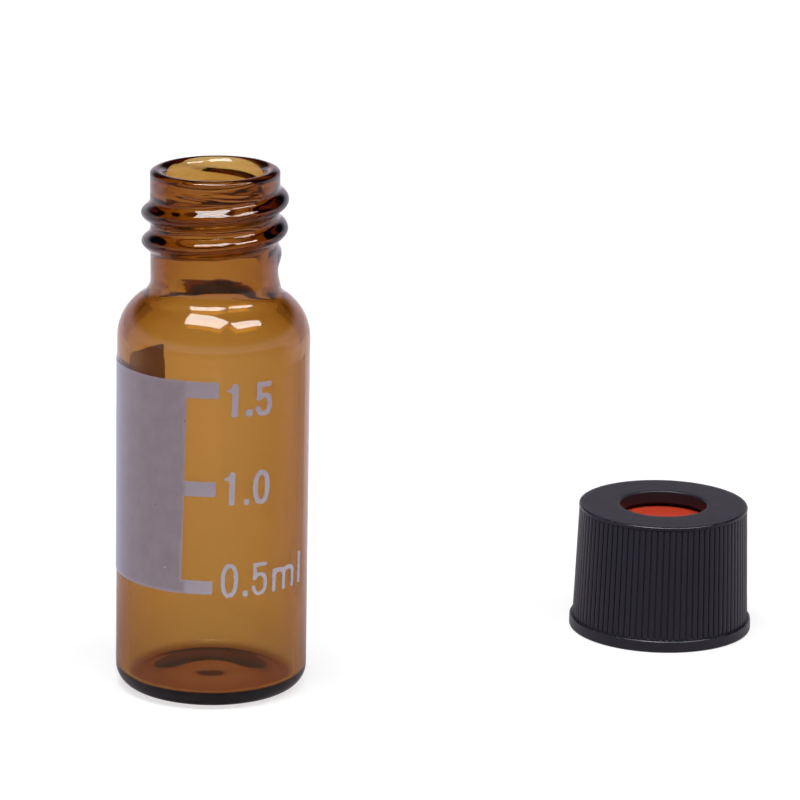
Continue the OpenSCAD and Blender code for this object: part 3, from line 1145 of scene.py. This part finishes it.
@dataclass
class ScrewCap:
    """The cap: a ribbed skirt with a smooth bead at its rim and a hole in its top."""

    axis: Pair
    finish: Material
    height: Size = 8.05
    bore_r: Size = 4.545
    skirt_low_r: Size = 5.545
    skirt_top_r: Size = 5.295
    rib_depth: Size = 0.075
    rib_fill: float = 0.44
    rim_r: Size = 5.745
    rim_h: Size = 0.75
    edge_h: Size = 0.22
    edge_r: Size = 0.11
    edge_out: Size = 0.03
    port_r: Size = 2.75
    port_bevel: Size = 0.3
    top_t: Size = 1.05
    recess_r: Size = 5.325
    recess_h: Size = 0.35
    tooth_h: Size = 1.1
    tooth_depth: Size = 0.36
    rim_soft: Size = 0.12
    port_soft: Size = 0.1
    root_fillet: Size = 0.07
    ledge_r: Size = 0.05
    foot_bevel: Size = 0.06
    polish_spread: Size = 0.12
    ridge: Bead = field(
        default_factory=lambda: Bead(0.475, 1.05, 1.75, 1.5, 5.125, 30.0, lead_deg=(50.0, 50.0), fillet=0.07)
    )

    def section(self) -> Curve:
        """Section of the shell as a closed ring, from the rim's foot up, over the top and down inside.

        Returns:
            Its points.
        """
        rib_top = self.height - self.edge_h
        root_low = self.skirt_low_r - self.rib_depth
        root_top = self.skirt_top_r - self.rib_depth
        edge = self.skirt_top_r + self.edge_out
        under = self.height - self.top_t
        tooth_top = self.recess_h + self.tooth_h
        deep = self.bore_r + self.tooth_depth
        rim, port = self.rim_r - self.rim_soft, self.port_r + self.port_soft
        fillet, ledge, foot = self.root_fillet, self.ledge_r, self.foot_bevel
        return joined(
            path((self.recess_r + foot, 0), ((rim, 0), 1)),
            arc((rim, self.rim_soft), self.rim_soft, -90, 0, 6),
            arc((rim, self.rim_h - self.rim_soft), self.rim_soft, 0, 90, 6),
            arc((root_low + fillet, self.rim_h + fillet), fillet, -90, -180, 4),
            path((root_low, self.rim_h + 0.1), ((root_top, rib_top - ledge), 2)),
            arc((edge - ledge, rib_top + ledge), ledge, -90, 0, 4),
            arc((edge - self.edge_r, self.height - self.edge_r), self.edge_r, 0, 90, 8),
            path((edge - self.edge_r, self.height), ((port, self.height), 8)),
            arc((port, self.height - self.port_soft), self.port_soft, 90, 180, 6),
            path(
                (self.port_r, self.height - self.port_soft),
                ((self.port_r, under + self.port_bevel), 3),
                ((self.port_r + self.port_bevel, under), 2),
                ((self.bore_r, under), 2),
                ((self.bore_r, tooth_top), 90),
                ((deep, tooth_top - 0.01), 1),
                ((deep, self.recess_h), 3),
                ((self.recess_r, self.recess_h), 1),
                ((self.recess_r, foot), 2),
                ((self.recess_r + foot, 0), 1),
            ),
        )[:-1]

    def shell(self) -> Piece:
        """Turns the shell, with its thread inside the bore.

        Returns:
            The shell.
        """
        lathe = Lathe(self.axis, 192)
        theta = lathe.angles()[None, :]
        radius, height = lathe.spread(self.section())
        bore = np.abs(radius - self.bore_r) < 1e-6
        radius -= np.where(bore, self.ridge.stands_out(theta, height), 0)
        piece = lathe.turn("cap_shell", radius, height, True)
        # Marks the two outer edges that handling polishes.
        edges = ((self.skirt_top_r + self.edge_out, self.height), (self.rim_r, self.rim_h))
        spread = self.polish_spread
        near = [swell(radius, r, spread) * swell(height, z, spread) for r, z in edges]
        mark = piece.data.attributes.new("edge", "FLOAT", "POINT")
        mark.data.foreach_set("value", np.maximum(*near).ravel().astype(np.float32))
        piece.data.set_sharp_from_angle(angle=CAP_CREASE)
        return piece

    def rib(self) -> Piece:
        """One gripping rib, beside an axis at the origin: a rounded bar that leans with the skirt.

        Returns:
            The rib.
        """
        low, high = self.rim_h - 0.02, self.height - self.edge_h + 0.02
        pitch = 2 * math.pi * self.skirt_low_r / Ring.RIBS.value
        half = self.rib_fill * pitch
        across = np.radians(np.linspace(-90, 90, 7))
        rows = []
        for share, full in ((0.0, 1.0), (0.985, 1.0), (1.0, 0.4)):
            z = low + share * (high - low)
            crest = self.skirt_low_r + share * (self.skirt_top_r - self.skirt_low_r)
            root = crest - self.rib_depth
            out = root + full * self.rib_depth * np.cos(across) ** 0.5
            side = half * (1 - 0.045 * share) * np.sin(across)
            face = np.c_[out, side, np.full_like(out, z)]
            rows.append(np.concatenate([face, [[root - 0.05, y, z] for y in (side[-1], side[0])]]))
        return prism("one_rib", rows)

    def tooth(self) -> Piece:
        """One ratchet tooth inside the rim, beside an axis at the origin: it slopes in and drops back.

        Returns:
            The tooth.
        """
        step = 2 * math.pi / Ring.TEETH.value
        outer = self.bore_r + self.tooth_depth + 0.05
        low, high = self.recess_h, self.recess_h + self.tooth_h + 0.04
        outline = [(outer, 0.0), (outer, 0.5 * step), (outer, 0.98 * step)]
        outline += [(self.bore_r + 0.02, 0.90 * step), (self.bore_r + 0.01, 0.82 * step)]
        outline += [(self.bore_r + 0.5 * self.tooth_depth, 0.42 * step)]
        corners = np.array([[r * math.cos(a), r * math.sin(a)] for r, a in outline])
        return prism("one_tooth", [np.c_[corners, np.full(len(corners), z)] for z in (low, high)])

    def build(self) -> None:
        """Builds and dresses the cap's three pieces."""
        ring = RingOfCopies(self.axis, self.finish)
        seat(self.shell(), "cap_plastic", self.finish, "screw_cap")
        seat(ring.build("cap_ribs", Ring.RIBS, self.rib()), "cap_plastic", self.finish)
        seat(ring.build("cap_ratchet", Ring.TEETH, self.tooth()), "cap_plastic", self.finish)


@dataclass
class Septum:
    """The two-layer septum: a red disc that bulges into the cap's hole, on a white film."""

    axis: Pair
    rubber: Material
    film: Material
    radius: Size = 4.45
    film_z: Size = 5.7
    film_t: Size = 0.15
    rubber_t: Size = 1.15
    dome_r: Size = 2.67
    dome_h: Size = 0.28
    soft: Size = 0.05

    def build(self) -> None:
        """Builds and dresses both layers."""
        lathe = Lathe(self.axis, 128)
        base, low = self.film_z, self.film_z + self.film_t
        top = low + self.rubber_t
        soft, edge = self.soft, self.radius - self.soft
        r = np.linspace(self.dome_r, 0, 18)
        rubber_section = joined(
            path((0, low), ((edge, low), 4)),
            arc((edge, low + soft), soft, -90, 0, 4),
            arc((edge, top - soft), soft, 0, 90, 4),
            path((edge, top), ((self.dome_r, top), 3)),
            np.c_[r, top + self.dome_h * np.cos(0.5 * math.pi * r / self.dome_r) ** 1.2],
        )
        film_section = joined(
            path((0, base), ((edge, base), 4)),
            arc((edge, base + soft), soft, -90, 0, 4),
            path((self.radius, low), ((0, low), 4)),
        )
        face = lathe.turn("septum_face", *lathe.spread(rubber_section), False)
        seat(face, "silicone", self.rubber, "septum_rubber")
        back = lathe.turn("septum_back", *lathe.spread(film_section), False)
        seat(back, "fluoropolymer", self.film, "septum_film")


# --- studio ---


@dataclass(frozen=True)
class Softbox:
    """A flat lit panel, given by the way to each corner from the object."""

    name: str
    corners: tuple[Pair, ...]
    above: Size = 420.0
    strength: float = 8.0
    shine: float = 13.0

    def sheet(self, centre: Trio, gloss: bool) -> None:
        """Hangs one lit sheet.

        Args:
            centre: What the corners are seen from.
            gloss: True for the sheet that mirrors show, False for the one that lights.
        """
        h = self.above if gloss else 0.98 * self.above
        points = np.array([[centre[0] + x * h, centre[1] + y * h, centre[2] + h] for x, y in self.corners])
        name = f"{self.name}_{'shine' if gloss else 'fill'}"
        panel = mesh_object(name, points, [list(range(len(points)))])
        material, add = new_material(name)
        glow = add("Emission", {"Strength": self.shine if gloss else self.strength})
        add("OutputMaterial", [glow])
        panel.data.materials.append(material)
        panel.visible_camera = panel.visible_shadow = False
        panel.visible_diffuse = not gloss
        panel.visible_glossy = panel.visible_transmission = gloss


@dataclass(frozen=True)
class Studio:
    """A white table, a white surround, two soft panels overhead and the camera.

    Attributes:
        aim: What the camera looks at.
        room: Share of the surround's light that is left overhead.
        lit: Share of the table's brightness that the panels give.
        card: Half width, height and distance of the white card.
    """

    aim: Trio = (11.238, 0.0, 17.974)
    distance: Size = 297.61
    elevation: float = 15.54
    roll: float = 1.089
    focal_share: float = 4945.5 / 800
    room: float = 0.015
    lit: float = 0.31
    fade_r: Pair = (60.0, 450.0)
    # Depths over which the painted shade in front of the object, in mirrors, gives way.
    painted_shade_y: Pair = (-30.0, 60.0)
    # Distances and shares of the painted shade that the glass shows near the object.
    near_shade_r: Pair = (6.0, 60.0)
    near_shade_share: Pair = (0.75, 1.03)
    # Distances over which the painted amber shadow under the vial ends.
    amber_shadow_r: Pair = (4.8, 4.9)
    card: Trio = (6.4, 16.0, 22.0)
    mirror_tint: Tint = (0.82, 0.74, 0.84, 1.0)
    card_tint: Tint = (0.5, 0.45, 0.52, 1.0)
    # Colour of the painted amber shadow under the vial.
    amber_shadow_tint: Tint = (1.0, 0.56, 0.5, 1.0)
    floor_tint: str = "#b2b2b2"
    # Colour of the painted shade in front of the object, in mirrors.
    painted_shade_tint: str = "#92868e"
    left: tuple[Pair, ...] = ((-0.53, -0.34), (-0.23, 0.24), (0.255, -0.284), (0.145, -0.623))
    right: tuple[Pair, ...] = ((0.274, -0.314), (0.531, -0.592), (1.032, -0.122), (0.751, 0.058))

    def set_camera(self) -> None:
        """Sets the camera up."""
        tilt, roll = math.radians(self.elevation), math.radians(self.roll)
        forward = Vector((0, math.cos(tilt), -math.sin(tilt)))
        right = Vector((1, 0, 0))
        up = right.cross(forward)
        turned = math.cos(roll) * right + math.sin(roll) * up
        raised = -math.sin(roll) * right + math.cos(roll) * up
        data = bpy.data.cameras.new("camera")
        data.sensor_width = 36.0
        data.lens = 36.0 * self.focal_share
        data.clip_start, data.clip_end = 0.01, 20.0
        camera = bpy.data.objects.new("camera", data)
        bpy.context.scene.collection.objects.link(camera)
        place = (Vector(self.aim) - forward * self.distance) * MM
        rows = [(turned[i], raised[i], -forward[i], place[i]) for i in range(3)]
        camera.matrix_world = Matrix((*rows, (0, 0, 0, 1)))
        bpy.context.scene.camera = camera

    def lay_table(self) -> None:
        """Lays the table, which shows white and keeps the object's shadow."""
        w, level = 1500.0, -0.02
        points = np.array([[-w, -w, level], [w, -w, level], [w, w, level], [-w, w, level]])
        table = mesh_object("table", points, [[0, 1, 2, 3]])
        material, add = new_material("white_table")
        rays = add("LightPath").outputs
        mirror, glass = rays["Is Glossy Ray"], rays["Is Transmission Ray"]
        place = add("NewGeometry").outputs["Position"]
        away = add("VectorMath", [place], operation="LENGTH")
        # The panels' light fades outwards, and the table's own glow makes up for it.
        fade = add("MapRange", (away, *metres(self.fade_r), 1 - self.lit, 1.0))
        # Painted shade: in front of the object, the table that mirrors show is darker, standing in for the
        # camera's shade.
        along = add("SeparateXYZ", [place]).outputs["Y"]
        front = add("MapRange", (along, *metres(self.painted_shade_y)), interpolation_type="SMOOTHSTEP")
        shine = add("Math", (front, fade), operation="MULTIPLY")
        mirrored = add("Math", (mirror, shine), operation="MULTIPLY")
        # Painted shade: seen through the glass, the table's glow falls off a little towards the object.
        near = add("MapRange", (away, *metres(self.near_shade_r), *self.near_shade_share))
        glassy = add("Math", (glass, near), operation="MULTIPLY")
        seen = add("Math", (rays["Is Camera Ray"], glassy), operation="MAXIMUM")
        glow = add("Math", (seen, fade), operation="MULTIPLY")
        total = add("Math", (mirrored, glow), operation="MAXIMUM")
        gloss = add("Math", (mirror, glass), operation="SUBTRACT", use_clamp=True)
        # Painted shadow: under the vial, the table that the glass shows glows amber, standing in for light
        # that reaches there only through the glass.
        under = add("MapRange", (away, *metres(self.amber_shadow_r), 1.0, 0.0))
        amber = add("Math", (under, glass), operation="MULTIPLY")
        tint = add("Mix", {"Factor": amber, "A": WHITE, "B": self.amber_shadow_tint}, data_type="RGBA")
        tint = add("Mix", {"Factor": gloss, "A": tint, "B": self.mirror_tint}, data_type="RGBA")
        # Painted shade: in mirrors, the table in front of the object takes a darker mauve colour.
        shade = add("Math", (1.0, front), operation="SUBTRACT")
        dim = add("Math", (gloss, shade), operation="MULTIPLY")
        lit, dark = linear(self.floor_tint), linear(self.painted_shade_tint)
        paint = add("BsdfDiffuse", [add("Mix", {"Factor": dim, "A": lit, "B": dark}, data_type="RGBA")])
        lift = add("Emission", {"Color": tint, "Strength": total})
        add("OutputMaterial", [add("AddShader", (paint, lift))])
        table.data.materials.append(material)

    def stand_card(self, cap: Pair) -> None:
        """Stands a white card before the cap, met only by what the glass shows or mirrors.

        Args:
            cap: Place of the cap's axis.
        """
        way = Vector((*cap, 0)).normalized()
        side = Vector((-way.y, way.x, 0))
        wide, high, out = self.card
        corners = [(-wide, 0), (wide, 0), (wide, high), (-wide, high)]
        points = np.array([way * out + side * x + Vector((0, 0, z)) for x, z in corners])
        card = mesh_object("white_card", points, [[0, 1, 2, 3]])
        material, add = new_material("white_card")
        glass = add("LightPath").outputs["Is Transmission Ray"]
        tint = add("Mix", {"Factor": glass, "A": self.card_tint, "B": WHITE}, data_type="RGBA")
        add("OutputMaterial", [add("Emission", [tint])])
        card.data.materials.append(material)
        card.visible_camera = card.visible_shadow = card.visible_diffuse = False

    def hang_surround(self) -> None:
        """Sets the white surround: white where it is seen, softer where it only lights."""
        world = bpy.data.worlds.new("surround")
        bpy.context.scene.world = world
        world.use_nodes = True
        world.node_tree.nodes.clear()
        add = partial(add_node, world.node_tree)
        camera = add("LightPath").outputs["Is Camera Ray"]
        height = add("SeparateXYZ", [add("TexCoord").outputs["Generated"]]).outputs["Z"]
        dome = add("MapRange", (height, 0.15, 0.40, 1.0, self.room), interpolation_type="SMOOTHSTEP")
        white = add("Background", {"Strength": 1.0})
        around = add("Background", {"Color": self.mirror_tint, "Strength": dome})
        add("OutputWorld", [add("MixShader", (camera, around, white))])

    def build(self, centre: Trio, cap: Pair) -> None:
        """Builds the studio.

        Args:
            centre: What the panels hang over.
            cap: Place of the cap's axis.
        """
        self.set_camera()
        self.lay_table()
        self.stand_card(cap)
        self.hang_surround()
        for panel in (Softbox("panel_left", self.left), Softbox("panel_right", self.right)):
            for gloss in (False, True):
                panel.sheet(centre, gloss)
        scene = bpy.context.scene
        scene.view_settings.view_transform = "Standard"
        scene.cycles.max_bounces = 40
        scene.cycles.transmission_bounces = 40
        scene.cycles.glossy_bounces = 24
        scene.cycles.diffuse_bounces = 4
        scene.cycles.use_denoising = True
        LOG.info("studio ready")


def axis_of(node: str) -> Pair:
    """The place of an upright node's axis, in millimetres."""
    low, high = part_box(node)
    return ((low.x + high.x) / 2 * PER_MM, (low.y + high.y) / 2 * PER_MM)


def main() -> None:
    """Builds every piece in order."""
    logging.basicConfig(level=logging.INFO, format="%(name)s: %(message)s")
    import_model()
    vial_axis, cap_axis = (0.0, 0.0), axis_of("screw_cap")
    LOG.info("cap axis at %.3f, %.3f mm", *cap_axis)
    Studio().build((0.0, 0.0, 24.0), cap_axis)
    GlassVial(vial_axis, AmberGlass().make()).build()
    FiredPrint(vial_axis, FiredInk().make()).build()
    ScrewCap(cap_axis, MouldedPolypropylene().make()).build()
    film = SheetRubber("white_fluoropolymer_film", "#e9eaec", "#f2f2f4", 0.35, 1.38, 0.05)
    Septum(cap_axis, SheetRubber().make(), film.make()).build()


if __name__ == "__main__":
    main()
